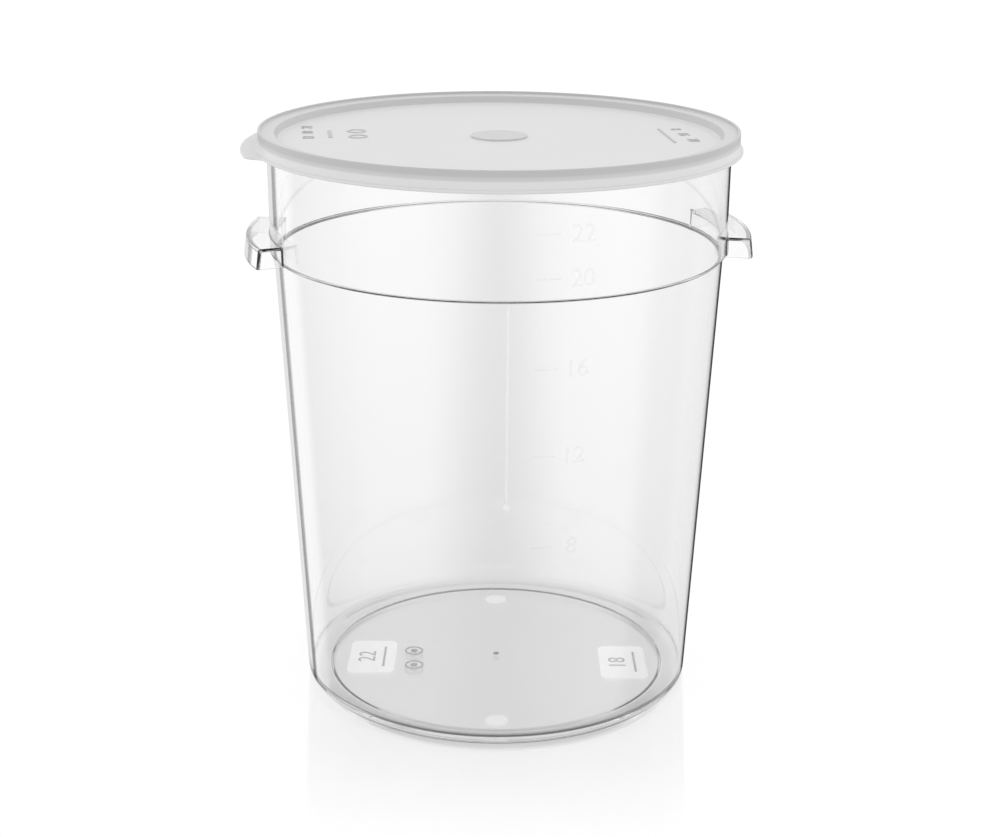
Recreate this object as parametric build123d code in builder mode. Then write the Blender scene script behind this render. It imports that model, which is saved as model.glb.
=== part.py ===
from math import asin, degrees, hypot
import os

from build123d import *

# Round dough proofing container with a press-on lid, in millimetres.
# Origin at the centre of the foot, +Z up, handles on the X axis, front towards -Y.

# Container wall, with its radii measured outside
container_height = 379.0
shoulder_height = 304.0
lower_wall_radius = 149.2
lower_wall_draft = 15.6
shoulder_step = 2.3
shoulder_drop = 2.4
upper_wall_draft = 0.5
wall_thickness = 3.0
ledge_drop = 1.0
ledge_rise = 0.5

# Rim at the mouth
rim_overhang = 2.6
rim_depth = 4.0

# Floor and foot ring
floor_thickness = 2.8
foot_corner_radius = 6.0
floor_corner_bevel = 8.5
foot_ring_width = 9.6
base_recess_depth = 2.4
base_recess_slope = 1.0

# Moulding marks under the floor: the gate nub and two ejector marks
gate_nub_radius = 1.7
gate_nub_height = 0.8
ejector_mark_radius = 7.8
ejector_mark_depth = 0.4
ejector_mark_offset = 95.5
ejector_mark_turn = 83.1

# Handles: hollow lugs, closed on top and at the ends, open underneath
handle_bottom_height = 302.3
handle_depth = 13.0
handle_reach = 17.1
handle_draft = 1.6
handle_span = 36.0
handle_skirt_thickness = 2.4
handle_plate_thickness = 2.2
handle_end_thickness = 2.4
handle_edge_break = 0.8

# Lid: sunken panel with a raised disc, ring with a stacking crest, skirt with a bead, and lip
lid_roof_thickness = 2.0
lid_thickness = 1.8
lid_crest_height = 2.0
lid_crest_width = 1.9
lid_crest_edge_break = 0.7
lid_panel_drop = 7.1
lid_disc_radius = 18.6
lid_disc_height = 1.2
plug_clearance = 0.3
plug_taper = 2.2
skirt_gap = 1.0
skirt_height = 13.6
bead_clearance = 0.3
bead_height = 3.0
bead_slope = 1.2
bead_lead = 1.6
flare_width = 1.2
flare_height = 4.2
lip_width = 0.8
lip_thickness = 2.0

# Pull tab, a flat tongue on the lip
tab_reach = 9.4
tab_span = 31.2
tab_flare = 2.9
tab_turn = 175.2
tab_corner_radius = 7.0
tab_blend_radius = 6.0

cut_overrun = 5.0

# Radii and heights worked out from the sizes above
foot_wall_radius = lower_wall_radius - lower_wall_draft
upper_wall_radius = lower_wall_radius + shoulder_step
mouth_wall_radius = upper_wall_radius + upper_wall_draft
mouth_radius = mouth_wall_radius - wall_thickness
rim_radius = mouth_wall_radius + rim_overhang
rim_underside_height = container_height - rim_depth
step_height = shoulder_height - shoulder_drop
ledge_height = shoulder_height - ledge_drop
foot_ring_radius = foot_wall_radius - foot_corner_radius - foot_ring_width
floor_height = base_recess_depth + floor_thickness
handle_top_height = handle_bottom_height + handle_depth
handle_bottom_radius = upper_wall_radius + handle_reach
handle_top_radius = handle_bottom_radius - handle_draft
handle_root_radius = lower_wall_radius - wall_thickness
hollow_top_height = handle_top_height - handle_plate_thickness
hollow_bottom_radius = handle_bottom_radius - handle_skirt_thickness
hollow_top_radius = handle_top_radius - handle_skirt_thickness
handle_end_angle = degrees(asin(handle_end_thickness / handle_bottom_radius))


def lower_wall_at(height):
    """Outside radius of the tapered lower wall at a height above the table."""
    return foot_wall_radius + (lower_wall_radius - foot_wall_radius) * height / step_height


with BuildPart() as container:
    # Each lug starts as a solid sector, revolved about the container's axis
    for side in (0, 180):
        with BuildSketch(Plane.XZ.rotated((0, 0, side - handle_span / 2))):
            with BuildLine():
                Polyline(
                    (handle_root_radius, handle_bottom_height),
                    (handle_bottom_radius, handle_bottom_height),
                    (handle_top_radius, handle_top_height),
                    (handle_root_radius, handle_top_height),
                    close=True,
                )
            make_face()
        revolve(axis=Axis.Z, revolution_arc=handle_span)

    # Their outer, upper and end edges are broken; the lower edges stay sharp
    lug_edges = container.edges().filter_by(
        lambda edge: edge.center().Z > handle_bottom_height + handle_edge_break
        and hypot(edge.center().X, edge.center().Y) > lower_wall_radius
    )
    chamfer(lug_edges, handle_edge_break)

    # The lugs are hollow from below, which leaves a top plate, a skirt and two end walls
    for side in (0, 180):
        hollow_start = side - handle_span / 2 + handle_end_angle
        with BuildSketch(Plane.XZ.rotated((0, 0, hollow_start))):
            with BuildLine():
                Polyline(
                    (handle_root_radius, handle_bottom_height - cut_overrun),
                    (hollow_bottom_radius, handle_bottom_height - cut_overrun),
                    (hollow_bottom_radius, handle_bottom_height),
                    (hollow_top_radius, hollow_top_height),
                    (handle_root_radius, hollow_top_height),
                    close=True,
                )
            make_face()
        revolve(axis=Axis.Z, revolution_arc=handle_span - 2 * handle_end_angle, mode=Mode.SUBTRACT)

    # Outer form: recessed base, foot ring, tapered wall, shoulder, upper wall and rim
    with BuildSketch(Plane.XZ) as outer_section:
        with BuildLine():
            Polyline(
                (0, base_recess_depth),
                (foot_ring_radius - base_recess_slope, base_recess_depth),
                (foot_ring_radius, 0),
                (foot_wall_radius, 0),
                (lower_wall_radius, step_height),
                (upper_wall_radius, shoulder_height),
                (mouth_wall_radius, rim_underside_height),
                (rim_radius, rim_underside_height),
                (rim_radius, container_height),
                (0, container_height),
                close=True,
            )
        make_face()
        foot_corner = outer_section.vertices().group_by(Axis.Y)[0].sort_by(Axis.X)[-1]
        fillet(foot_corner, foot_corner_radius)
    revolve(axis=Axis.Z)

    # Inside: flat floor with a bevelled corner, tapered wall, ledge at the shoulder and open mouth
    with BuildSketch(Plane.XZ) as cavity_section:
        with BuildLine():
            Polyline(
                (0, floor_height),
                (lower_wall_at(floor_height) - wall_thickness, floor_height),
                (lower_wall_radius - wall_thickness, ledge_height),
                (upper_wall_radius - wall_thickness, ledge_height + ledge_rise),
                (mouth_radius, container_height),
                (mouth_radius, container_height + cut_overrun),
                (0, container_height + cut_overrun),
                close=True,
            )
        make_face()
        floor_corner = cavity_section.vertices().group_by(Axis.Y)[0].sort_by(Axis.X)[-1]
        chamfer(floor_corner, floor_corner_bevel)
    revolve(axis=Axis.Z, mode=Mode.SUBTRACT)

    # Gate nub in the middle of the base and an ejector mark towards the front and the back
    with BuildSketch(Plane.XY.offset(base_recess_depth)):
        Circle(gate_nub_radius)
    extrude(amount=-gate_nub_height)
    with BuildSketch(Plane.XY.offset(base_recess_depth)):
        with PolarLocations(ejector_mark_offset, 2, start_angle=ejector_mark_turn):
            Circle(ejector_mark_radius)
    extrude(amount=ejector_mark_depth, mode=Mode.SUBTRACT)

container.part.label = "container"

# Lid sizes, all taken from the rim that it closes
lid_ring_height = container_height + lid_roof_thickness
lid_top_height = lid_ring_height + lid_crest_height
panel_top_height = lid_top_height - lid_panel_drop
panel_underside_height = panel_top_height - lid_thickness
lip_bottom_height = lid_top_height - skirt_height
lip_top_height = lip_bottom_height + lip_thickness
plug_radius = mouth_radius - plug_clearance
skirt_inner_radius = rim_radius + skirt_gap
skirt_radius = skirt_inner_radius + lid_thickness
bead_radius = rim_radius + bead_clearance
bead_bottom_height = lip_bottom_height + bead_lead
lip_radius = skirt_radius + flare_width + lip_width
tab_radius = lip_radius + tab_reach

with BuildPart() as lid:
    with BuildSketch(Plane.XZ) as lid_section:
        with BuildLine():
            Polyline(
                (0, panel_top_height + lid_disc_height),
                (lid_disc_radius, panel_top_height + lid_disc_height),
                (lid_disc_radius, panel_top_height),
                (plug_radius - lid_thickness - plug_taper, panel_top_height),
                (plug_radius - lid_thickness, lid_ring_height),
                (skirt_radius - lid_crest_width, lid_ring_height),
                (skirt_radius - lid_crest_width, lid_top_height),
                (skirt_radius, lid_top_height),
                (skirt_radius, lip_top_height + flare_height),
                (skirt_radius + flare_width, lip_top_height),
                (lip_radius, lip_top_height),
                (lip_radius, lip_bottom_height),
                (bead_radius + bead_lead, lip_bottom_height),
                (bead_radius, bead_bottom_height),
                (bead_radius, bead_bottom_height + bead_height - bead_slope),
                (skirt_inner_radius, bead_bottom_height + bead_height),
                (skirt_inner_radius, container_height),
                (plug_radius, container_height),
                (plug_radius - plug_taper, panel_underside_height),
                (0, panel_underside_height),
                close=True,
            )
        make_face()
        crest_corner = lid_section.vertices().group_by(Axis.Y)[-1].sort_by(Axis.X)[-1]
        chamfer(crest_corner, lid_crest_edge_break)
    revolve(axis=Axis.Z)

    # The tab's outline is drawn on its own axis, then turned to its place on the lip
    with BuildSketch(Plane.XY.offset(lip_bottom_height).rotated((0, 0, tab_turn))) as tab_outline:
        with BuildLine():
            tip = CenterArc((0, 0), tab_radius, -tab_span / 2, tab_span)
            root = CenterArc((0, 0), lip_radius, -tab_span / 2 - tab_flare, tab_span + 2 * tab_flare)
            Line(tip @ 0, root @ 0)
            Line(tip @ 1, root @ 1)
        make_face()
        fillet(tab_outline.vertices().sort_by(SortBy.DISTANCE)[-2:], tab_corner_radius)
        Circle(lip_radius)
        tab_roots = tab_outline.vertices().filter_by(
            lambda vertex: abs(hypot(vertex.X, vertex.Y) - lip_radius) < lip_width
        )
        fillet(tab_roots, tab_blend_radius)
        Circle(skirt_radius, mode=Mode.SUBTRACT)
    extrude(amount=lip_thickness)

lid.part.label = "lid"

os.makedirs("parts", exist_ok=True)
export_step(container.part, "parts/container.step")
export_step(lid.part, "parts/lid.step")
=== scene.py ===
import math

import bmesh
import bpy
import numpy as np
from mathutils import Matrix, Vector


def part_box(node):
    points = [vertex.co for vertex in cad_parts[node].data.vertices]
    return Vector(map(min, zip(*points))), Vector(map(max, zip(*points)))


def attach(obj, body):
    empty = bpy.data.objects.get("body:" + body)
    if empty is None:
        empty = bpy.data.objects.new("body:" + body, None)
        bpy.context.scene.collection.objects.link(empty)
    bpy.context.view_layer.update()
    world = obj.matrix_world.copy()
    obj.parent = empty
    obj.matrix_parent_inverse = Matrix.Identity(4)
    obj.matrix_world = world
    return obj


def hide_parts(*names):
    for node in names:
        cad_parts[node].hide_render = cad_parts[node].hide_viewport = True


# Round clear food container with a press-on lid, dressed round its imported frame. Metres, +Z up.
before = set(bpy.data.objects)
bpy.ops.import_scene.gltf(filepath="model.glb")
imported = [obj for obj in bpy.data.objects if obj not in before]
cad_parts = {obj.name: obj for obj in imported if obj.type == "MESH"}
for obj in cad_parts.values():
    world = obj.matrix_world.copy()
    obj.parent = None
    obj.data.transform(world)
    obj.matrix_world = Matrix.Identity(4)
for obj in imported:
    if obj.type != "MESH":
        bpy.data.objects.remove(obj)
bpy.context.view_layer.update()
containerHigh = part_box("container")[1]
lidLow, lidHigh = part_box("lid")
mm = 0.001
photoTurn = 7.2  # degrees from the photograph's front to the part's own front, about +Z
print("frame loaded:", sorted(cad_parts))

# Clear container, all in millimetres; heights above the table, radii from its own axis
tub = {
    "height": containerHigh.z / mm, "wall": 3.0,
    "nubTip": 1.4, "nubRoot": 1.7, "nubEnd": 1.6, "nubRound": 0.2,
    "baseRecess": 2.4, "ringInside": 118.0, "ringSlope": 1.6, "ringRound": 0.9,
    "footRadius": 133.6, "footRound": 6.0, "floorTop": 5.2, "floorRound": 4.0,
    "stepRadius": 149.2, "stepHeight": 301.6, "stepRound": 0.5, "upperRadius": 151.5, "shoulderHeight": 304.0,
    "ledgeDrop": 1.0, "ledgeRise": 0.5, "ledgeRound": 0.3,
    "mouthWall": 152.0, "mouthWallRound": 0.5, "mouthRadius": 149.0, "mouthRound": 1.0,
    "rimDepth": 4.0, "rimRadius": 154.6, "rimRound": 0.9,
    "bendSteps": 3, "footSteps": 10, "shoulderSteps": 5, "floorSteps": 16, "wallColumns": 146,
    "flatMargin": 0.25,
}
# Hollow lugs on the two sides, open underneath; spans, eases and margins are in degrees
lug = {
    "bottom": 302.3, "top": 315.3, "reachBottom": 168.6, "reachTop": 167.0,
    "skirt": 2.4, "plate": 2.2, "endWall": 2.4, "round": 1.6, "roundSteps": 5,
    "hollowRound": 0.8, "ceilingRound": 0.5, "edgeRound": 0.25, "rootRound": 0.4,
    "fillet": 1.5, "filletSteps": 5, "filletFoot": 0.3,
    "besideDepth": 8.0, "besideEnd": 1.0, "besidePoints": 5, "undersideShares": (0.2, 0.45, 0.7, 1),
    "halfSpan": 18.0, "hollowEase": 0.08, "hollowMargin": 1.0, "hollowColumns": 33,
}
# Shares of a leg of an outline: an arc takes at most mostTrim of it, and the point beside the arc stands
# mostMargin along it at most
bend = {"mostTrim": 0.45, "mostMargin": 0.48, "tiny": 1e-9}
# Points closer than merge, in metres, become one, and folds of more than sharpAngle degrees stay sharp
meshWork = {"merge": 2e-6, "markMerge": 1e-6, "sliver": 1e-7, "sharpAngle": 35}


def legsAndBends(corners, bendSteps, margin):
    # Each corner (r, z, radius) becomes an arc of bendSteps + 1 points, tangent to both of its legs, so that
    # outlines with as many corners have as many points. A point stands margin away from both ends of each
    # arc, so that the flats are shaded flat
    corners = np.array(corners, float)
    spot = corners[:, :2]
    radius = corners[:, 2]
    points = [spot[0]]
    for here in range(1, len(spot) - 1):
        toBack = spot[here - 1] - spot[here]
        toNext = spot[here + 1] - spot[here]
        backLength = np.hypot(*toBack)
        nextLength = np.hypot(*toNext)
        steps = bendSteps[here]
        if radius[here] == 0 or min(backLength, nextLength) < bend["tiny"]:
            points += [spot[here]] * (steps + 3)
            continue
        toBack = toBack / backLength
        toNext = toNext / nextLength
        half = 0.5 * math.acos(np.clip(np.dot(toBack, toNext), -1, 1))
        trim = min(radius[here] / math.tan(half), bend["mostTrim"] * min(backLength, nextLength))
        size = trim * math.tan(half)
        bisector = (toBack + toNext) / max(np.hypot(*(toBack + toNext)), bend["tiny"])
        centre = spot[here] + bisector * size / math.sin(half)
        start = spot[here] + toBack * trim - centre
        end = spot[here] + toNext * trim - centre
        turn = math.pi - 2 * half
        share = np.linspace(0, 1, steps + 1)[:, None]
        arc = (np.sin((1 - share) * turn) * start + np.sin(share * turn) * end) / math.sin(turn) + centre
        points.append(spot[here] + toBack * min(trim + margin, bend["mostMargin"] * backLength))
        points += list(arc)
        points.append(spot[here] + toNext * min(trim + margin, bend["mostMargin"] * nextLength))
    points.append(spot[-1])
    return np.array(points)


def addObject(name, data):
    thing = bpy.data.objects.new(name, data)
    bpy.context.scene.collection.objects.link(thing)
    return thing


def cleanMesh(mesh, merge, turnOut=False):
    # Doubles merged and slivers gone; turnOut points the faces of closed solids outwards
    work = bmesh.new()
    work.from_mesh(mesh)
    bmesh.ops.remove_doubles(work, verts=work.verts, dist=merge)
    bmesh.ops.dissolve_degenerate(work, edges=work.edges, dist=meshWork["sliver"])
    if turnOut:
        bmesh.ops.recalc_face_normals(work, faces=work.faces)
    work.to_mesh(mesh)
    work.free()


def spinGrid(name, sections, angles):
    # Surface of revolution with a section for each angle: point = (r cos a, r sin a, z), with r and z from
    # the section's own row. Rows run from the lower pole, out and round the section, to the upper pole
    sections = np.array(sections)
    angles = np.array(angles)
    columns, rows = sections.shape[:2]
    radius = sections[:, :, 0]
    x = radius * np.cos(angles)[:, None]
    y = radius * np.sin(angles)[:, None]
    points = np.stack([x, y, sections[:, :, 1]], -1) * mm
    here = np.arange(columns * rows).reshape(columns, rows)
    beside = np.roll(here, -1, 0)
    faces = np.stack([here[:, :-1], beside[:, :-1], beside[:, 1:], here[:, 1:]], -1).reshape(-1, 4)
    mesh = bpy.data.meshes.new(name)
    mesh.vertices.add(columns * rows)
    mesh.vertices.foreach_set("co", points.astype(np.float32).ravel())
    mesh.loops.add(faces.size)
    mesh.loops.foreach_set("vertex_index", faces.astype(np.int32).ravel())
    mesh.polygons.add(len(faces))
    mesh.polygons.foreach_set("loop_start", np.arange(0, faces.size, faces.shape[1], dtype=np.int32))
    mesh.update(calc_edges=True)
    cleanMesh(mesh, meshWork["merge"])
    mesh.polygons.foreach_set("use_smooth", [True] * len(mesh.polygons))
    mesh.set_sharp_from_angle(angle=math.radians(meshWork["sharpAngle"]))
    mesh.validate()
    return addObject(name, mesh)


# Where the container's slopes meet heights that are set by other sizes
rimUnder = tub["height"] - tub["rimDepth"]
stepSlope = (tub["upperRadius"] - tub["stepRadius"]) / (tub["shoulderHeight"] - tub["stepHeight"])
rootRadius = tub["stepRadius"] + stepSlope * (lug["bottom"] - tub["stepHeight"])
wallSlope = (tub["mouthWall"] - tub["upperRadius"]) / (rimUnder - tub["shoulderHeight"])


def upperWallAt(height):
    # Outside radius above the shoulder: its own at the shoulder, plus the slope times the height above it
    return tub["upperRadius"] + wallSlope * (height - tub["shoulderHeight"])


def lowerWallAt(height):
    # Outside radius below the shoulder: a straight taper from the foot to the step
    return tub["footRadius"] + (tub["stepRadius"] - tub["footRadius"]) * height / tub["stepHeight"]


def plainCorners(stand):
    # The wall beside a lug, with as many corners as the lug has, so that their sections can be joined; stand
    # is how far the fillet at the lug's end wall stands out of the wall
    end = lug["besideEnd"] if stand == 0 else 0
    heights = np.linspace(lug["top"] - lug["besideDepth"], lug["top"] - end, lug["besidePoints"])
    shoulder = (tub["upperRadius"] + stand, tub["shoulderHeight"], tub["stepRound"])
    return [(rootRadius, lug["bottom"], 0), shoulder] + [(upperWallAt(z) + stand, z, 0) for z in heights]


def lugCorners(inset, rounding, hollow):
    # A section through a lug: root, hollow or underside, skirt and top; inset draws its top and its reach in
    # where its ends are rounded
    outerBottom = (lug["reachBottom"] - inset, lug["bottom"], lug["edgeRound"])
    outerTop = (lug["reachTop"] - inset, lug["top"] - inset, rounding)
    skirtBottom = (lug["reachBottom"] - lug["skirt"], lug["bottom"], lug["edgeRound"])
    ceiling = lug["top"] - lug["plate"]
    if hollow:
        inner = [(tub["upperRadius"], tub["shoulderHeight"], tub["stepRound"]),
                 (upperWallAt(ceiling), ceiling, lug["ceilingRound"]),
                 (lug["reachTop"] - lug["skirt"], ceiling, lug["hollowRound"]), skirtBottom]
    else:
        inner = [(rootRadius + (skirtBottom[0] - rootRadius) * share, lug["bottom"], 0)
                 for share in lug["undersideShares"]]
    return [(rootRadius, lug["bottom"], 0)] + inner + [outerBottom, outerTop]


def tubSection(kind, inset=0.0, rounding=lug["round"], stand=0.0):
    # The whole closed section at one angle: pole, base, outside, rim, inside, floor, pole
    recess = tub["baseRecess"]
    below = [(0, tub["nubEnd"], 0), (tub["nubTip"], tub["nubEnd"], tub["nubRound"]),
             (tub["nubRoot"], recess, tub["nubRound"]),
             (tub["ringInside"] - tub["ringSlope"], recess, tub["ringRound"]),
             (tub["ringInside"], 0, tub["ringRound"]), (tub["footRadius"], 0, tub["footRound"]),
             (tub["stepRadius"], tub["stepHeight"], tub["stepRound"])]
    middle = plainCorners(stand) if kind == "plain" else lugCorners(inset, rounding, kind == "hollow")
    topRoot = lug["top"] - (inset if kind == "solid" else 0)
    inner = tub["wall"]
    ledge = tub["shoulderHeight"] - tub["ledgeDrop"]
    above = [(upperWallAt(topRoot), topRoot, 0 if kind == "plain" else lug["rootRound"]),
             (tub["mouthWall"], rimUnder, tub["mouthWallRound"]),
             (tub["rimRadius"], rimUnder, tub["rimRound"]),
             (tub["rimRadius"], tub["height"], tub["rimRound"]),
             (tub["mouthRadius"], tub["height"], tub["mouthRound"]),
             (tub["upperRadius"] - inner, ledge + tub["ledgeRise"], tub["ledgeRound"]),
             (tub["stepRadius"] - inner, ledge, tub["ledgeRound"]),
             (lowerWallAt(tub["floorTop"]) - inner, tub["floorTop"], tub["floorRound"]),
             (0, tub["floorTop"], 0)]
    bendSteps = [tub["bendSteps"]] * (len(below) + len(middle) + len(above))
    bendSteps[5] = tub["footSteps"]  # the foot's outer corner
    bendSteps[-2] = tub["floorSteps"]  # the floor's inner corner
    for corner in (6, 8, -4, -3):  # the shoulder outside, and its ledge inside
        bendSteps[corner] = tub["shoulderSteps"]
    return legsAndBends(below + middle + above, bendSteps, tub["flatMargin"])


def tubColumns():
    # Sections and their angles all round: for each lug its fillet, its rounded end, its hollow and the same
    # in reverse, then the plain wall. Each face of an end wall is a pair of sections at one angle
    solid = tubSection("solid")
    hollow = tubSection("hollow")
    hollowEnd = lug["halfSpan"] - math.degrees(math.asin(lug["endWall"] / lug["reachBottom"]))
    ends = []
    for step in range(lug["filletSteps"] + 1):
        turn = step / lug["filletSteps"] * math.pi / 2
        ahead = math.degrees(lug["fillet"] * (1 - math.sin(turn)) / tub["upperRadius"])
        stand = lug["fillet"] * (1 - math.cos(turn))
        ends.append((lug["halfSpan"] + ahead, tubSection("plain", stand=stand)))
    ends.append((lug["halfSpan"], tubSection("solid", lug["round"] + lug["filletFoot"], 0.0)))
    for step in range(lug["roundSteps"] + 1):
        turn = step / lug["roundSteps"] * math.pi / 2
        back = math.degrees(lug["round"] * (1 - math.cos(turn)) / lug["reachBottom"])
        inset = lug["round"] * (1 - math.sin(turn))
        ends.append((lug["halfSpan"] - back, tubSection("solid", inset, lug["round"] * math.sin(turn))))
    ends += [(hollowEnd + lug["hollowEase"], solid), (hollowEnd, solid),
             (hollowEnd, hollow), (hollowEnd - lug["hollowEase"], hollow)]
    reach = hollowEnd - lug["hollowMargin"]
    middle = [(a, hollow) for a in np.linspace(-reach, reach, lug["hollowColumns"])]
    oneLug = [(-a, section) for a, section in ends] + middle + ends[::-1]
    between = np.linspace(lug["halfSpan"], 180 - lug["halfSpan"], tub["wallColumns"])[1:-1]
    plain = tubSection("plain")
    half = oneLug + [(a, plain) for a in between]
    columns = half + [(a + 180, section) for a, section in half]
    return [section for _, section in columns], np.radians([a for a, _ in columns])


container = spinGrid("clear_container", *tubColumns())
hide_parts("container")
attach(container, "container")
print("container:", len(container.data.vertices), "points,", len(container.data.polygons), "faces")

# Milky lid in millimetres: sunken panel with a raised disc, ring with a crest, skirt with bead, lip and tab.
# The tab's spans, flare and turn are in degrees
cap = {
    "top": lidHigh.z / mm, "crestHeight": 2.0, "crestWidth": 1.9, "crestRound": 0.8, "crestInnerRound": 0.6,
    "roof": 2.0, "wall": 1.8, "ringRound": 1.0, "ringRootRound": 0.5,
    "panelDrop": 7.1, "panelRound": 1.2,
    "discRadius": 18.6, "discHeight": 1.2, "discRound": 0.3, "discRoot": 0.2,
    "plugRadius": 148.7, "plugTaper": 2.2, "plugFootRound": 1.5, "roofRound": 0.5,
    "skirtRadius": 157.4, "skirtRound": 3.0, "beadRadius": 154.9, "beadHeight": 3.0, "beadSlope": 1.2,
    "beadLead": 1.6, "beadRound": 0.3, "flareWidth": 1.2, "flareHeight": 4.2, "flareRound": 0.8,
    "lipRadius": 159.4, "lipThickness": 2.0, "lipRound": 0.6,
    "tabReach": 9.4, "tabSpan": 31.2, "tabFlare": 2.9, "tabTurn": 175.2, "tabCorner": 7.0, "tabBlend": 6.0,
    "tabLead": 20.0, "tabMargin": 0.2, "tabCornerSteps": 16, "tabBlendSteps": 12,
    "bendSteps": 4, "crestSteps": 6, "flatMargin": 0.25,
    "columns": 360, "tabHalfSpan": 21.0, "tabColumns": 127,
}
panelTop = cap["top"] - cap["panelDrop"]
ringTop = cap["top"] - cap["crestHeight"]
crestInside = cap["skirtRadius"] - cap["crestWidth"]


def tabReachAt(angles):
    # How far the lip stands out at each angle: the tab's outline, drawn with round corners on a flat sheet
    # whose first axis is the arc length along the lip and whose second is the reach, read back by arc length
    perDegree = cap["lipRadius"] * math.pi / 180
    root = (cap["tabSpan"] / 2 + cap["tabFlare"]) * perDegree
    tip = cap["tabSpan"] / 2 * perDegree
    sheet = [(root + cap["tabLead"], 0, 0), (root, 0, cap["tabBlend"]),
             (tip, cap["tabReach"], cap["tabCorner"]), (0, cap["tabReach"], 0)]
    steps = [0, cap["tabBlendSteps"], cap["tabCornerSteps"], 0]
    outline = legsAndBends(sheet, steps, cap["tabMargin"])[::-1]
    along = np.abs((np.degrees(angles) - cap["tabTurn"] + 180) % 360 - 180) * perDegree
    return np.interp(along, outline[:, 0], outline[:, 1])


def lidSection(reach):
    # The closed section at one angle: pole, underside of the panel, plug, roof, bead, lip, skirt outside,
    # crest, ring, panel, disc, pole; reach is how far the tab takes the lip out there
    lipBottom = lidLow.z / mm
    lipTop = lipBottom + cap["lipThickness"]
    lip = cap["lipRadius"] + reach
    panelUnder = panelTop - cap["wall"]
    plug = cap["plugRadius"]
    foot = plug - cap["plugTaper"]
    beadBottom = lipBottom + cap["beadLead"]
    beadTop = beadBottom + cap["beadHeight"]
    inside = cap["skirtRadius"] - cap["wall"]
    roofUnder = ringTop - cap["roof"]
    disc = cap["discRadius"]
    discTop = panelTop + cap["discHeight"]
    corners = [
        (0, panelUnder, 0), (foot, panelUnder, cap["plugFootRound"]),
        (plug, roofUnder, cap["roofRound"]), (inside, roofUnder, cap["roofRound"]),
        (inside, beadTop, cap["beadRound"]),
        (cap["beadRadius"], beadTop - cap["beadSlope"], cap["beadRound"]),
        (cap["beadRadius"], beadBottom, cap["beadRound"]),
        (cap["beadRadius"] + cap["beadLead"], lipBottom, cap["beadRound"]),
        (lip, lipBottom, cap["lipRound"]), (lip, lipTop, cap["lipRound"]),
        (cap["skirtRadius"] + cap["flareWidth"], lipTop, cap["flareRound"]),
        (cap["skirtRadius"], lipTop + cap["flareHeight"], cap["skirtRound"]),
        (cap["skirtRadius"], cap["top"], cap["crestRound"]),
        (crestInside, cap["top"], cap["crestInnerRound"]),
        (crestInside, ringTop, cap["ringRootRound"]), (plug - cap["wall"], ringTop, cap["ringRound"]),
        (foot - cap["wall"], panelTop, cap["panelRound"]), (disc, panelTop, cap["discRoot"]),
        (disc, discTop, cap["discRound"]), (0, discTop, 0)]
    bendSteps = [cap["bendSteps"]] * len(corners)
    for corner in (12, 15):  # the crest's outer edge, and the ring's inner one
        bendSteps[corner] = cap["crestSteps"]
    return legsAndBends(corners, bendSteps, cap["flatMargin"])


def lidColumns():
    # Angles in radians: even ones all round, and closer ones across the tab
    even = np.linspace(0, 360, cap["columns"] + 1)[:-1]
    close = cap["tabTurn"] + np.linspace(-cap["tabHalfSpan"], cap["tabHalfSpan"], cap["tabColumns"])
    return np.radians(np.unique(np.round(np.concatenate([even, close]), 4)))


lidAngles = lidColumns()
lid = spinGrid("press_on_lid", [lidSection(reach) for reach in tabReachAt(lidAngles)], lidAngles)
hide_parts("lid")
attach(lid, "lid")
print("lid:", len(lid.data.vertices), "points,", len(lid.data.polygons), "faces")


# Thin marks are flat shapes in millimetres, (u, v) with a height, and a function of these carries each onto
# its surface
def roundedBox(width, height, corner, steps=6, sideSteps=8):
    # Outline of a box with round corners: each corner is an arc, and points divide the sides between the arcs
    arc = np.linspace(0, math.pi / 2, steps + 1)
    quarters = []
    for turn, side in enumerate(((1, 1), (-1, 1), (-1, -1), (1, -1))):
        middle = np.array(side) * (width / 2 - corner, height / 2 - corner)
        swing = arc + turn * math.pi / 2
        quarters.append(middle + corner * np.stack([np.cos(swing), np.sin(swing)], -1))
    outline = np.concatenate(quarters)
    following = np.roll(outline, -1, 0)
    share = np.linspace(0, 1, sideSteps + 1)[:-1, None]
    long = np.hypot(*(following - outline).T) > corner
    pieces = [start + share * (end - start) if isLong else start[None]
              for start, end, isLong in zip(outline, following, long)]
    return np.concatenate(pieces)


def circle(radius, steps=48):
    # Points at even angles, (r cos a, r sin a)
    swing = np.linspace(0, 2 * math.pi, steps + 1)[:-1]
    return radius * np.stack([np.cos(swing), np.sin(swing)], -1)


def dot(radius):
    return circle(radius, 24)


def slab(outline, low, high, holeShare=0.0, shift=(0.0, 0.0)):
    # Closed plate between two heights: rows run from the hole's edge, or the centre, out over the top, down
    # the edge and back underneath
    count = len(outline)
    hole = outline * holeShare
    rings = [(hole, high), (outline, high), (outline, low), (hole, low)]
    points = np.concatenate([np.column_stack([ring + np.array(shift), np.full(count, height)])
                             for ring, height in rings])
    here = np.arange(4 * count).reshape(4, count)
    below = np.roll(here, -1, 0) if holeShare else here[1:]
    here = here[:len(below)]
    faces = np.stack([here, below, np.roll(below, -1, 1), np.roll(here, -1, 1)], -1).reshape(-1, 4)
    return points, faces.tolist()


def turned(flat, degrees):
    # (u, v) turned counter-clockwise: (u cos a - v sin a, u sin a + v cos a)
    swing = math.radians(degrees)
    return flat @ np.array([[math.cos(swing), math.sin(swing)], [-math.sin(swing), math.cos(swing)]])


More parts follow.
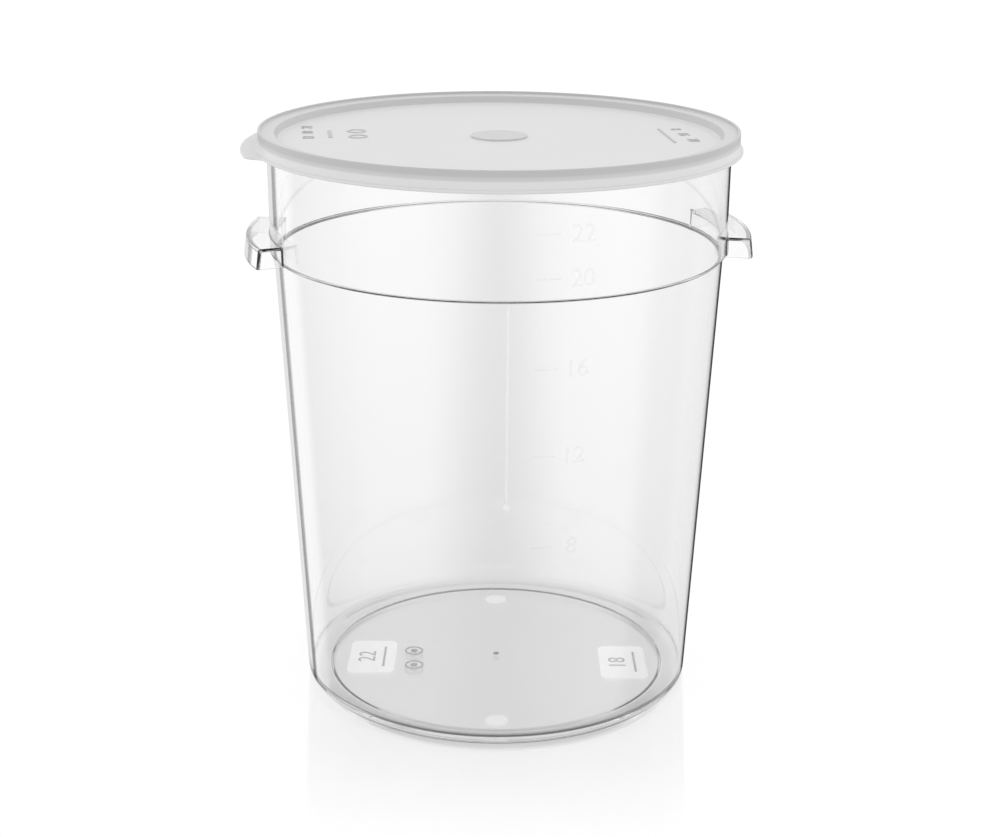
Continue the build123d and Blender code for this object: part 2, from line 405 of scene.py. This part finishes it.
def numerals(words, height, low, high, shift=(0.0, 0.0), turn=0.0):
    # Plain numerals of a stated height as a closed solid, centred on shift and turned by degrees
    curve = bpy.data.curves.new("numerals", "FONT")
    curve.body = words
    curve.extrude = 0.5  # any thickness, because the two levels are set below
    curve.resolution_u = 5
    writer = addObject("numerals", curve)
    bpy.context.view_layer.update()
    shown = writer.evaluated_get(bpy.context.evaluated_depsgraph_get())
    mesh = bpy.data.meshes.new_from_object(shown)
    flat = np.empty(len(mesh.vertices) * 3)
    mesh.vertices.foreach_get("co", flat)
    points = flat.reshape(-1, 3)
    faces = [list(face.vertices) for face in mesh.polygons]
    bpy.data.objects.remove(writer)
    bpy.data.curves.remove(curve)
    bpy.data.meshes.remove(mesh)
    least, most = points.min(0), points.max(0)
    size = height / (most[1] - least[1])
    spread = (points[:, :2] - (least[:2] + most[:2]) / 2) * size
    level = np.where(points[:, 2] > 0, high, low)
    return np.column_stack([turned(spread, turn) + np.array(shift), level]), faces


def markPiece(name, shapes, body):
    # One piece from flat shapes and their places; its edge attribute is 1 on faces that stand up from the
    # surface
    points, faces, edges, start = [], [], [], 0
    for (flat, corners), place in shapes:
        points.append(place(flat))
        faces += [[index + start for index in face] for face in corners]
        edges += [float(np.ptp(flat[face, 2]) > 0) for face in corners]
        start += len(flat)
    mesh = bpy.data.meshes.new(name)
    mesh.from_pydata((np.concatenate(points) * mm).tolist(), [], faces)
    mesh.attributes.new("edge", "FLOAT", "FACE").data.foreach_set("value", edges)
    cleanMesh(mesh, meshWork["markMerge"], turnOut=True)
    piece = addObject(name, mesh)
    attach(piece, body)
    print(name + ":", len(mesh.polygons), "faces")
    return piece


# Graduations on the wall: numerals, ticks and a fine line, by bearing in degrees from the part's front.
# A box is its width, height and corner
wallMarks = {
    "levels": (("8", 141.8), ("12", 203.0), ("16", 259.6), ("20", 316.8), ("22", 343.9)),
    "numeralHeight": 11.0, "numeralBearing": 12.2, "tickBearing": 4.2, "tick": (14.5, 0.9, 0.3),
    "low": 0.03, "high": 0.33, "line": (1.0, 126.0, 0.4), "lineBearing": -4.9, "lineMiddle": 237.0,
    "lineDepth": 0.12, "lineEnd": 2.0, "lineEndHeight": 170.0,
}


def wallPlace(bearing, height):
    # A flat shape wrapped on the wall of radius r: swing = bearing + u / r, z = height + v, reach = r + the
    # shape's own height; point = (reach sin swing, -reach cos swing, z)
    def place(flat):
        z = height + flat[:, 1]
        base = np.where(z > tub["shoulderHeight"], upperWallAt(z), lowerWallAt(z))
        swing = math.radians(bearing) + flat[:, 0] / base
        reach = base + flat[:, 2]
        return np.stack([reach * np.sin(swing), -reach * np.cos(swing), z], -1)
    return place


def levelMarks():
    # A tick and its numerals at the height of each volume
    low, high = wallMarks["low"], wallMarks["high"]
    tick = slab(roundedBox(*wallMarks["tick"]), low, high)
    shapes = []
    for words, height in wallMarks["levels"]:
        shapes.append((tick, wallPlace(wallMarks["tickBearing"], height)))
        shapes.append((numerals(words, wallMarks["numeralHeight"], low, high),
                       wallPlace(wallMarks["numeralBearing"], height)))
    return shapes


def lineMarks():
    # A fine upright mould line that ends in a dot
    low = wallMarks["low"]
    line = slab(roundedBox(*wallMarks["line"]), low, low + wallMarks["lineDepth"])
    end = slab(dot(wallMarks["lineEnd"]), low, wallMarks["high"])
    return [(line, wallPlace(wallMarks["lineBearing"], wallMarks["lineMiddle"])),
            (end, wallPlace(wallMarks["lineBearing"], wallMarks["lineEndHeight"]))]


graduations = markPiece("graduations", levelMarks(), "container")
mouldLine = markPiece("mould_line", lineMarks(), "container")

# Marks under the base, seen through it: two frosted patches with plain numerals, two rings, two ejector marks
baseMarks = {
    "turn": -photoTurn, "patch": (33.0, 52.0, 5.5),
    "patches": (("22", (-88.4, 4.4)), ("18", (87.5, -24.4))),
    "patchLow": 2.0, "patchHigh": 2.2, "printLow": 1.9, "printHigh": 2.34,
    "numeralHeight": 12.0, "numeralShift": (-4.0, 0.0), "bar": (1.6, 32.0, 0.6), "barShift": (8.5, 0.0),
    "rings": ((-58.2, 10.9), (-60.0, -12.1)), "ringRadius": 6.6, "ringHole": 0.82, "ringDot": 2.4,
    "ejectorRadius": 7.8, "ejectorFront": 103.0, "ejectorBack": 95.5, "ejectorBearing": 83.1,
    "gateRadius": 1.9, "gateHole": 0.4,
}


def flatPlace(shift, turn=0.0):
    # A flat shape laid level: (u, v) turned by degrees about +Z, then moved
    def place(flat):
        return np.column_stack([turned(flat[:, :2], turn) + np.array(shift), flat[:, 2]])
    return place


def patchMarks():
    # Two frosted boxes with round corners
    plate = slab(roundedBox(*baseMarks["patch"]), baseMarks["patchLow"], baseMarks["patchHigh"])
    return [(plate, flatPlace(spot, baseMarks["turn"])) for _, spot in baseMarks["patches"]]


def ejectorMarks():
    # Two discs on one line through the axis, one before it and one behind it
    disc = slab(circle(baseMarks["ejectorRadius"]), baseMarks["patchLow"], baseMarks["patchHigh"])
    swing = math.radians(baseMarks["ejectorBearing"])
    back = np.array([math.cos(swing), math.sin(swing)])
    reaches = (-baseMarks["ejectorFront"], baseMarks["ejectorBack"])
    return [(disc, flatPlace(back * reach)) for reach in reaches]


def printMarks():
    # Numerals and a bar on each patch, two rings with a dot in them, and the gate in the middle
    low, high = baseMarks["printLow"], baseMarks["printHigh"]
    bar = slab(roundedBox(*baseMarks["bar"]), low, high, shift=baseMarks["barShift"])
    ring = slab(circle(baseMarks["ringRadius"]), low, high, baseMarks["ringHole"])
    shapes = []
    for words, spot in baseMarks["patches"]:
        place = flatPlace(spot, baseMarks["turn"])
        figure = numerals(words, baseMarks["numeralHeight"], low, high, baseMarks["numeralShift"], 90)
        shapes += [(figure, place), (bar, place)]
    for spot in baseMarks["rings"]:
        shapes += [(ring, flatPlace(spot)), (slab(dot(baseMarks["ringDot"]), low, high), flatPlace(spot))]
    gate = slab(dot(baseMarks["gateRadius"]), low, high, baseMarks["gateHole"])
    return shapes + [(gate, flatPlace((0, 0)))]


patches = markPiece("frosted_patches", patchMarks(), "container")
ejectors = markPiece("ejector_marks", ejectorMarks(), "container")
basePrint = markPiece("base_marks", printMarks(), "container")

# Raised marks on the lid's panel: plain numerals, bars and rings, reading up the left side and down the right
lidMarks = {
    "low": 0.02, "high": 0.42, "numeralHeight": 7.4,
    "left": (("12", (-124.5, 8.0)), ("18", (-124.5, 28.0)), ("22", (-124.5, 48.0))),
    "right": (("8", (122.0, 17.0)), ("16", (123.0, -4.0)), ("20", (124.5, -26.0))),
    "leftBar": ((2.6, 27.0, 0.9), (-110.0, 19.0)), "rightBar": ((1.8, 54.0, 0.7), (110.5, -7.0)),
    "rings": ((-92.0, 8.0), (-92.0, 29.0)), "ringRadius": 6.4, "ringHole": 0.74,
}


def panelMarks():
    # Every shape stands on the panel
    low, high = panelTop + lidMarks["low"], panelTop + lidMarks["high"]
    ring = slab(circle(lidMarks["ringRadius"]), low, high, lidMarks["ringHole"])
    shapes = []
    for side, turn in (("left", 90), ("right", -90)):
        for words, spot in lidMarks[side]:
            figure = numerals(words, lidMarks["numeralHeight"], low, high, turn=turn)
            shapes.append((figure, flatPlace(spot)))
    for size, spot in (lidMarks["leftBar"], lidMarks["rightBar"]):
        shapes.append((slab(roundedBox(*size), low, high), flatPlace(spot)))
    for spot in lidMarks["rings"]:
        shapes.append((ring, flatPlace(spot)))
    return shapes


lidPrint = markPiece("lid_marks", panelMarks(), "lid")


class Wire:
    # One output socket; Python's operators on it add Math nodes
    def __init__(self, socket):
        self.socket = socket

    @classmethod
    def add(cls, tree, kind, settings=(), values=(), output=0):
        # Any node: its settings first, then the values or links of its sockets
        node = tree.nodes.new(kind)
        for name, value in dict(settings).items():
            if name == "stops":
                elements = node.color_ramp.elements  # a new ramp has two
                for index, (place, colour) in enumerate(value):
                    stop = elements[index] if index < 2 else elements.new(place)
                    stop.position = place
                    stop.color = colour
            else:
                setattr(node, name, value)
        for name, value in dict(values).items():
            if isinstance(value, Wire):
                tree.links.new(value.socket, node.inputs[name])
            else:
                node.inputs[name].default_value = value
        return cls(node.outputs[output])

    def math(self, operation, *others):
        values = enumerate((self, *others))
        return Wire.add(self.socket.id_data, "ShaderNodeMath", {"operation": operation}, values)

    def flipped(self, operation, other):
        return Wire.add(self.socket.id_data, "ShaderNodeMath", {"operation": operation}, {0: other, 1: self})

    def __add__(self, other):
        return self.math("ADD", other)

    def __sub__(self, other):
        return self.math("SUBTRACT", other)

    def __rsub__(self, other):
        return self.flipped("SUBTRACT", other)

    def __mul__(self, other):
        return self.math("MULTIPLY", other)

    def __truediv__(self, other):
        return self.math("DIVIDE", other)

    def __rtruediv__(self, other):
        return self.flipped("DIVIDE", other)

    __radd__ = __add__
    __rmul__ = __mul__

    def ramp(self, low, high):
        # 0 below low, 1 above high, smooth between
        return Wire.add(self.socket.id_data, "ShaderNodeMapRange", {"interpolation_type": "SMOOTHSTEP"},
                        {"Value": self, "From Min": low, "From Max": high})

    def along(self, table, low, span):
        # Straight lines through the table's points (place, level), in a colour ramp from low to low + span
        stops = [((place - low) / span, (level, level, level, 1)) for place, level in table]
        share = (self - low) / span
        return Wire.add(self.socket.id_data, "ShaderNodeValToRGB", {"stops": stops}, {0: share})


def newMaterial(name):
    material = bpy.data.materials.new(name)
    material.use_nodes = True
    tree = material.node_tree
    return material, tree, tree.nodes["Principled BSDF"]


def objectPoint(tree):
    return Wire.add(tree, "ShaderNodeTexCoord", output=3)


def axesOf(tree, vector):
    split = tree.nodes.new("ShaderNodeSeparateXYZ")
    tree.links.new(vector.socket, split.inputs[0])
    return [Wire(socket) for socket in split.outputs]


def noise(tree, place, scale, detail=2.0):
    return Wire.add(tree, "ShaderNodeTexNoise", {}, {"Vector": place, "Scale": scale, "Detail": detail})


def varied(texture, spread):
    # A factor about 1 that a texture from 0 to 1 changes by spread
    return texture * spread + (1 - spread / 2)


def bumpOf(tree, height, strength, distance):
    values = {"Height": height, "Strength": strength, "Distance": distance}
    return Wire.add(tree, "ShaderNodeBump", {}, values)


def grey(tree, tone):
    return Wire.add(tree, "ShaderNodeCombineColor", {}, {"Red": tone, "Green": tone, "Blue": tone})


def setShader(tree, shader, **values):
    for name, value in values.items():
        socket = shader.inputs[name.replace("_", " ")]
        if isinstance(value, Wire):
            tree.links.new(value.socket, socket)
        else:
            socket.default_value = value


clearLook = {
    "colour": (0.957, 0.958, 0.958, 1), "index": 1.585, "roughness": 0.015,
    "waveScale": 26.0, "waveStretch": (1.0, 1.0, 0.15), "waveStrength": 0.02, "waveDepth": 0.0005,
}


def clearPlastic():
    # Clear moulded plastic: full transmission, with a faint upright waviness from the mould
    material, tree, shader = newMaterial("clear_moulded_plastic")
    settings = {"Vector": objectPoint(tree), "Scale": clearLook["waveStretch"]}
    stretched = Wire.add(tree, "ShaderNodeMapping", {}, settings)
    waves = noise(tree, stretched, clearLook["waveScale"])
    setShader(tree, shader, Base_Color=clearLook["colour"], Transmission_Weight=1.0, IOR=clearLook["index"],
              Roughness=clearLook["roughness"],
              Normal=bumpOf(tree, waves, clearLook["waveStrength"], clearLook["waveDepth"]))
    return material


# Tones of the milky lid by height in millimetres, inside its crest and outside: painted light and shade that
# copy its bands, with a painted highlight line on the crest's inner wall, and a darker disc. Outside, it is
# painted darker from the underside of the container's rim upwards
lidShadedLook = {
    "low": 369.0, "span": 15.0, "crest": (crestInside + 0.1, crestInside + 0.7),
    "discEdge": (cap["discRadius"] + 0.05, cap["discRadius"] + 0.3), "disc": 0.57,
    "inner": [(375.0, 0.68), (376.1, 0.68), (376.5, 0.55), (380.4, 0.55), (380.9, 0.61), (381.05, 0.61),
              (381.5, 0.54)],
    "outer": [(369.0, 0.54), (370.2, 0.71), (371.2, 0.71), (371.5, 0.65), (371.8, 0.72), (375.8, 0.72),
              (376.6, 0.61), (378.6, 0.56), (379.2, 0.5), (382.6, 0.5), (383.0, 0.54)],
    "cloud": 0.05, "cloudScale": 9.0, "cloudDetail": 3.0,
    "grainScale": 1400.0, "grainStrength": 0.12, "grainDepth": 0.00008, "roughness": 0.42, "index": 1.5,
}


def milkyPlastic():
    # Milky plastic: the tone follows height and radius as painted light and shade, with a faint cloud in it
    # and a fine grain on it
    material, tree, shader = newMaterial("milky_lid_plastic")
    place = objectPoint(tree)
    x, y, z = axesOf(tree, place)
    radius = (x * x + y * y).math("SQRT") / mm
    height = z / mm
    outside = radius.ramp(*lidShadedLook["crest"])
    disc = 1 - radius.ramp(*lidShadedLook["discEdge"])
    inner = height.along(lidShadedLook["inner"], lidShadedLook["low"], lidShadedLook["span"])
    outer = height.along(lidShadedLook["outer"], lidShadedLook["low"], lidShadedLook["span"])
    inner = inner * (1 - disc) + disc * lidShadedLook["disc"]
    cloud = varied(noise(tree, place, lidShadedLook["cloudScale"], lidShadedLook["cloudDetail"]), lidShadedLook["cloud"])
    tone = (inner * (1 - outside) + outer * outside) * cloud
    grain = noise(tree, place, lidShadedLook["grainScale"])
    setShader(tree, shader, Base_Color=grey(tree, tone), Roughness=lidShadedLook["roughness"], IOR=lidShadedLook["index"],
              Normal=bumpOf(tree, grain, lidShadedLook["grainStrength"], lidShadedLook["grainDepth"]))
    return material


# Marks: the piece, its tone, its cover on level faces and on faces that stand up, and its glow. The glow is
# painted light that makes the frosted patches, the ejector marks and the mould line brighter than their
# lighting.
# On the graduations the stronger cover on faces that stand up is painted shade, the dark outlines of clear
# edges
markLooks = {
    "raised_graduation": (graduations, 0.6, 0.05, 0.18, 0.0),
    "mould_line_plastic": (mouldLine, 0.95, 0.08, 0.12, 0.25),
    "frosted_plastic": (patches, 0.9, 0.92, 0.92, 0.3),
    "ejector_mark_plastic": (ejectors, 0.9, 0.45, 0.45, 0.3),
    "base_mark_plastic": (basePrint, 0.42, 0.7, 0.7, 0.0),
    "lid_mark_plastic": (lidPrint, 0.52, 1.1, 1.1, 0.0),
}
markGrain = {
    "scale": 900.0, "detail": 3.0, "coverSpread": 0.3, "toneSpread": 0.1, "strength": 0.2, "depth": 0.0001,
    "roughness": 0.55,
}


def markMaterial(name, tone, faceCover, edgeCover, glow):
    # A raised or frosted mark: a fine grain, a cover that is stronger on the faces that stand up, and a
    # constant glow that is painted light
    material, tree, shader = newMaterial(name)
    grain = noise(tree, objectPoint(tree), markGrain["scale"], markGrain["detail"])
    edge = Wire.add(tree, "ShaderNodeAttribute", {"attribute_name": "edge"}, output=2)
    cover = (faceCover + edge * (edgeCover - faceCover)) * varied(grain, markGrain["coverSpread"])
    shade = grain * markGrain["toneSpread"] + (tone - markGrain["toneSpread"] / 2)
    setShader(tree, shader, Base_Color=grey(tree, shade), Roughness=markGrain["roughness"], Alpha=cover,
              Normal=bumpOf(tree, grain, markGrain["strength"], markGrain["depth"]),
              Emission_Color=(1, 1, 1, 1), Emission_Strength=glow)
    return material


container.data.materials.append(clearPlastic())
lid.data.materials.append(milkyPlastic())
for name, (piece, *look) in markLooks.items():
    piece.data.materials.append(markMaterial(name, *look))
print("materials made")

# White floor, lit from below like a light table, in metres. Shades are painted shares of its glow, and show
# through plastic alone. A painted shade in a grey strip lies on it behind the container, and it mirrors
# faintly near the foot
stage = {
    "floorRadius": 14.0, "floorSides": 96, "glow": 0.76, "paper": 0.26, "paperRoughness": 0.9,
    "shadeReach": 1.5, "shadeRate": 0.06, "shadeFrom": 0.12, "baseReach": (0.118, 0.132), "baseShade": 0.04,
    "footInside": (0.112, 0.126), "footOutside": (0.134, 0.144), "footFront": (-0.02, 0.12), "footShade": 0.5,
    "stripShadeWidth": (0.0, 0.075), "stripShadeStart": (0.05, 0.2), "stripShadeAmount": 0.10,
    "mirror": 0.37, "mirrorReach": (0.09, 0.29), "mirrorBehind": 1.8, "mirrorBeside": 0.9,
    "mirrorRoughness": 0.02,
}
oneOrMore = 0.5  # a count of bounces above this is one or more
bpy.ops.mesh.primitive_circle_add(
    vertices=stage["floorSides"], radius=stage["floorRadius"], fill_type="NGON")
floor = bpy.context.object
floor.name = "floor"


def sidewaysOf(x, y):
    # To the right of the photograph's front
    turn = math.radians(photoTurn)
    return x * math.cos(turn) - y * math.sin(turn)


def behindOf(x, y):
    # Away from the photograph's front
    turn = math.radians(photoTurn)
    return x * math.sin(turn) + y * math.cos(turn)


def floorShade(away, sideways, behind, before):
    # Painted shades added up: one that fades with the logarithm of the distance away, one under the base, one
    # in a strip behind the container and one in a ring under the front of the foot
    steps = (stage["shadeReach"] / away.math("MAXIMUM", stage["shadeFrom"])).math("LOGARITHM", math.e)
    around = steps.math("MAXIMUM", 0.0) * stage["shadeRate"]
    base = (1 - away.ramp(*stage["baseReach"])) * stage["baseShade"]
    stripShade = (1 - sideways.ramp(*stage["stripShadeWidth"])) * behind.ramp(*stage["stripShadeStart"]) * stage["stripShadeAmount"]
    ring = away.ramp(*stage["footInside"]) * (1 - away.ramp(*stage["footOutside"]))
    foot = ring * before.ramp(*stage["footFront"]) * stage["footShade"]
    return around + base + stripShade + foot


def floorMaterial():
    # Glowing paper with a faint mirror near the container. A path that has been mirrored passes through it,
    # to the studio below
    material, tree, shader = newMaterial("pale_floor")
    lightPath = tree.nodes.new("ShaderNodeLightPath")
    mirrored = Wire(lightPath.outputs["Glossy Depth"]).math("GREATER_THAN", oneOrMore)
    throughPlastic = Wire(lightPath.outputs["Transmission Depth"]).math("GREATER_THAN", oneOrMore)
    place = objectPoint(tree)
    away = Wire.add(tree, "ShaderNodeVectorMath", {"operation": "LENGTH"}, {0: place}, output=1)
    x, y = axesOf(tree, place)[:2]
    sideways = sidewaysOf(x, y).math("ABSOLUTE")
    behind = behindOf(x, y)
    before = behind * -1
    shade = floorShade(away, sideways, behind, before)
    glow = (1 - throughPlastic * shade) * stage["glow"]
    paper = (stage["paper"], stage["paper"], stage["paper"], 1)
    setShader(tree, shader, Base_Color=paper, Roughness=stage["paperRoughness"], Specular_IOR_Level=0.0,
              Emission_Color=grey(tree, glow), Emission_Strength=1.0)
    reach = before.math("MAXIMUM", behind * stage["mirrorBehind"])
    reach = reach.math("MAXIMUM", sideways * stage["mirrorBeside"])
    mirror = (1 - reach.ramp(*stage["mirrorReach"])) * stage["mirror"]
    gloss = Wire.add(tree, "ShaderNodeBsdfGlossy", {},
                     {"Color": (1, 1, 1, 1), "Roughness": stage["mirrorRoughness"]})
    mixed = Wire.add(tree, "ShaderNodeMixShader", {}, {0: mirror, 1: Wire(shader.outputs[0]), 2: gloss})
    clear = Wire.add(tree, "ShaderNodeBsdfTransparent")
    both = Wire.add(tree, "ShaderNodeMixShader", {}, {0: mirrored, 1: mixed, 2: clear})
    tree.links.new(both.socket, tree.nodes["Material Output"].inputs["Surface"])
    return material


floor.data.materials.append(floorMaterial())
print("floor made")

# The studio as the container mirrors it: brightness by bearing in degrees, 0 at the photograph's front, + to
# its right. near is below the horizon, far is there after many walls, and inside is for paths that rise
# through plastic. Steep paths see one level, and dip takes some of the front's light from matte surfaces
studio = {
    "turn": (-180, 360),  # the tables' first bearing and their span
    "near": [(-180, 0.5), (-172, 0.8), (-153, 0.8), (-151.5, 0.18), (-145, 0.18), (-143, 1.1), (-127, 1.1),
             (-119, 0.68), (-104, 0.7), (-92, 0.85), (-64, 0.98), (-42, 1.0), (0, 0.8), (42, 1.0), (60, 1.12),
             (77, 1.12), (90, 0.62), (107, 0.62), (119, 0.82), (150, 0.82), (156, 0.75), (161, 0.05),
             (173, 0.05), (177, 0.5), (180, 0.5)],
    "far": [(-180, 0.9), (-42, 1.0), (-28, 0.62), (-14, 0.15), (0, 0.0), (14, 0.15), (28, 0.62), (42, 1.05),
            (90, 1.1), (100, 0.9), (180, 0.9)],
    "inside": [(-180, 0.68), (-150, 0.68), (-135, 1.0), (-42, 1.0), (0, 0.5), (42, 1.0), (135, 1.0),
               (150, 0.68), (180, 0.68)],
    "steep": (0.60, 0.78), "steepLevel": 0.12, "steepUp": (0.5, 0.7), "steepUpLevel": 0.15,
    "manyWalls": 2.5, "plain": 1.0, "matteGain": 0.12,
    "dip": 0.62, "dipBearing": (5.0, 60.0), "dipRise": (0.45, 0.75),
}


def studioWorld():
    # White studio; a path that has been mirrored once also sees the darker gaps between its lights
    world = bpy.data.worlds.new("studio")
    world.use_nodes = True
    tree = world.node_tree
    bpy.context.scene.world = world
    lightPath = tree.nodes.new("ShaderNodeLightPath")
    mirrored = Wire(lightPath.outputs["Glossy Depth"]).math("GREATER_THAN", oneOrMore)
    matte = Wire(lightPath.outputs["Is Diffuse Ray"])
    refracted = Wire(lightPath.outputs["Transmission Depth"])
    deep = refracted.math("GREATER_THAN", studio["manyWalls"])
    within = refracted.math("GREATER_THAN", oneOrMore)
    x, y, z = axesOf(tree, Wire.add(tree, "ShaderNodeTexCoord", output=0))
    bearing = sidewaysOf(x, y).math("ARCTAN2", behindOf(x, y) * -1) * (180 / math.pi)
    near = bearing.along(studio["near"], *studio["turn"])
    far = bearing.along(studio["far"], *studio["turn"])
    inside = bearing.along(studio["inside"], *studio["turn"])
    rising = z.math("GREATER_THAN", 0.0)
    steep = (z * -1).ramp(*studio["steep"])
    lofty = z.ramp(*studio["steepUp"])
    below = steep * studio["steepLevel"] + (1 - steep) * (deep * far + (1 - deep) * near)
    above = within * (inside * (1 - lofty) + lofty * studio["steepUpLevel"]) + (1 - within)
    front = 1 - bearing.math("ABSOLUTE").ramp(*studio["dipBearing"])
    dip = front * (1 - z.ramp(*studio["dipRise"])) * studio["dip"]
    seen = mirrored * (rising * above + (1 - rising) * below)
    level = seen + (1 - mirrored) * (studio["plain"] + matte * (studio["matteGain"] - dip))
    background = tree.nodes["Background"]
    tree.links.new(level.socket, background.inputs["Strength"])
    background.inputs["Color"].default_value = (1, 1, 1, 1)


studioWorld()
print("studio made")

# Camera, solved from the outlines of the lid, shoulder, wall and base in the 995 by 837 photograph. Distance,
# height and clipping are in metres, pitch and roll in degrees, and lens and sensor in millimetres
view = {
    "distance": 1.21354, "height": 0.58168, "pitch": 18.27, "roll": 0.34, "lens": 67.08, "sensor": 36.0,
    "nearest": 0.01, "furthest": 60.0,
}
lens = bpy.data.cameras.new("camera")
lens.lens = view["lens"]
lens.sensor_width = view["sensor"]
lens.clip_start = view["nearest"]
lens.clip_end = view["furthest"]
camera = addObject("camera", lens)
turn = math.radians(-photoTurn)
camera.location = (view["distance"] * math.sin(turn), -view["distance"] * math.cos(turn), view["height"])
tilt = Matrix.Rotation(math.radians(90 - view["pitch"]), 3, "X")
roll = Matrix.Rotation(math.radians(view["roll"]), 3, "Z")
camera.rotation_euler = (Matrix.Rotation(turn, 3, "Z") @ tilt @ roll).to_euler()

scene = bpy.context.scene
scene.camera = camera
scene.view_settings.view_transform = "Standard"
scene.cycles.max_bounces = 24
scene.cycles.transmission_bounces = 20
scene.cycles.glossy_bounces = 12
scene.cycles.transparent_max_bounces = 16
scene.cycles.use_denoising = True
scene.cycles.blur_glossy = 0.0  # the container's own floor is lit through clear walls
print("camera made")
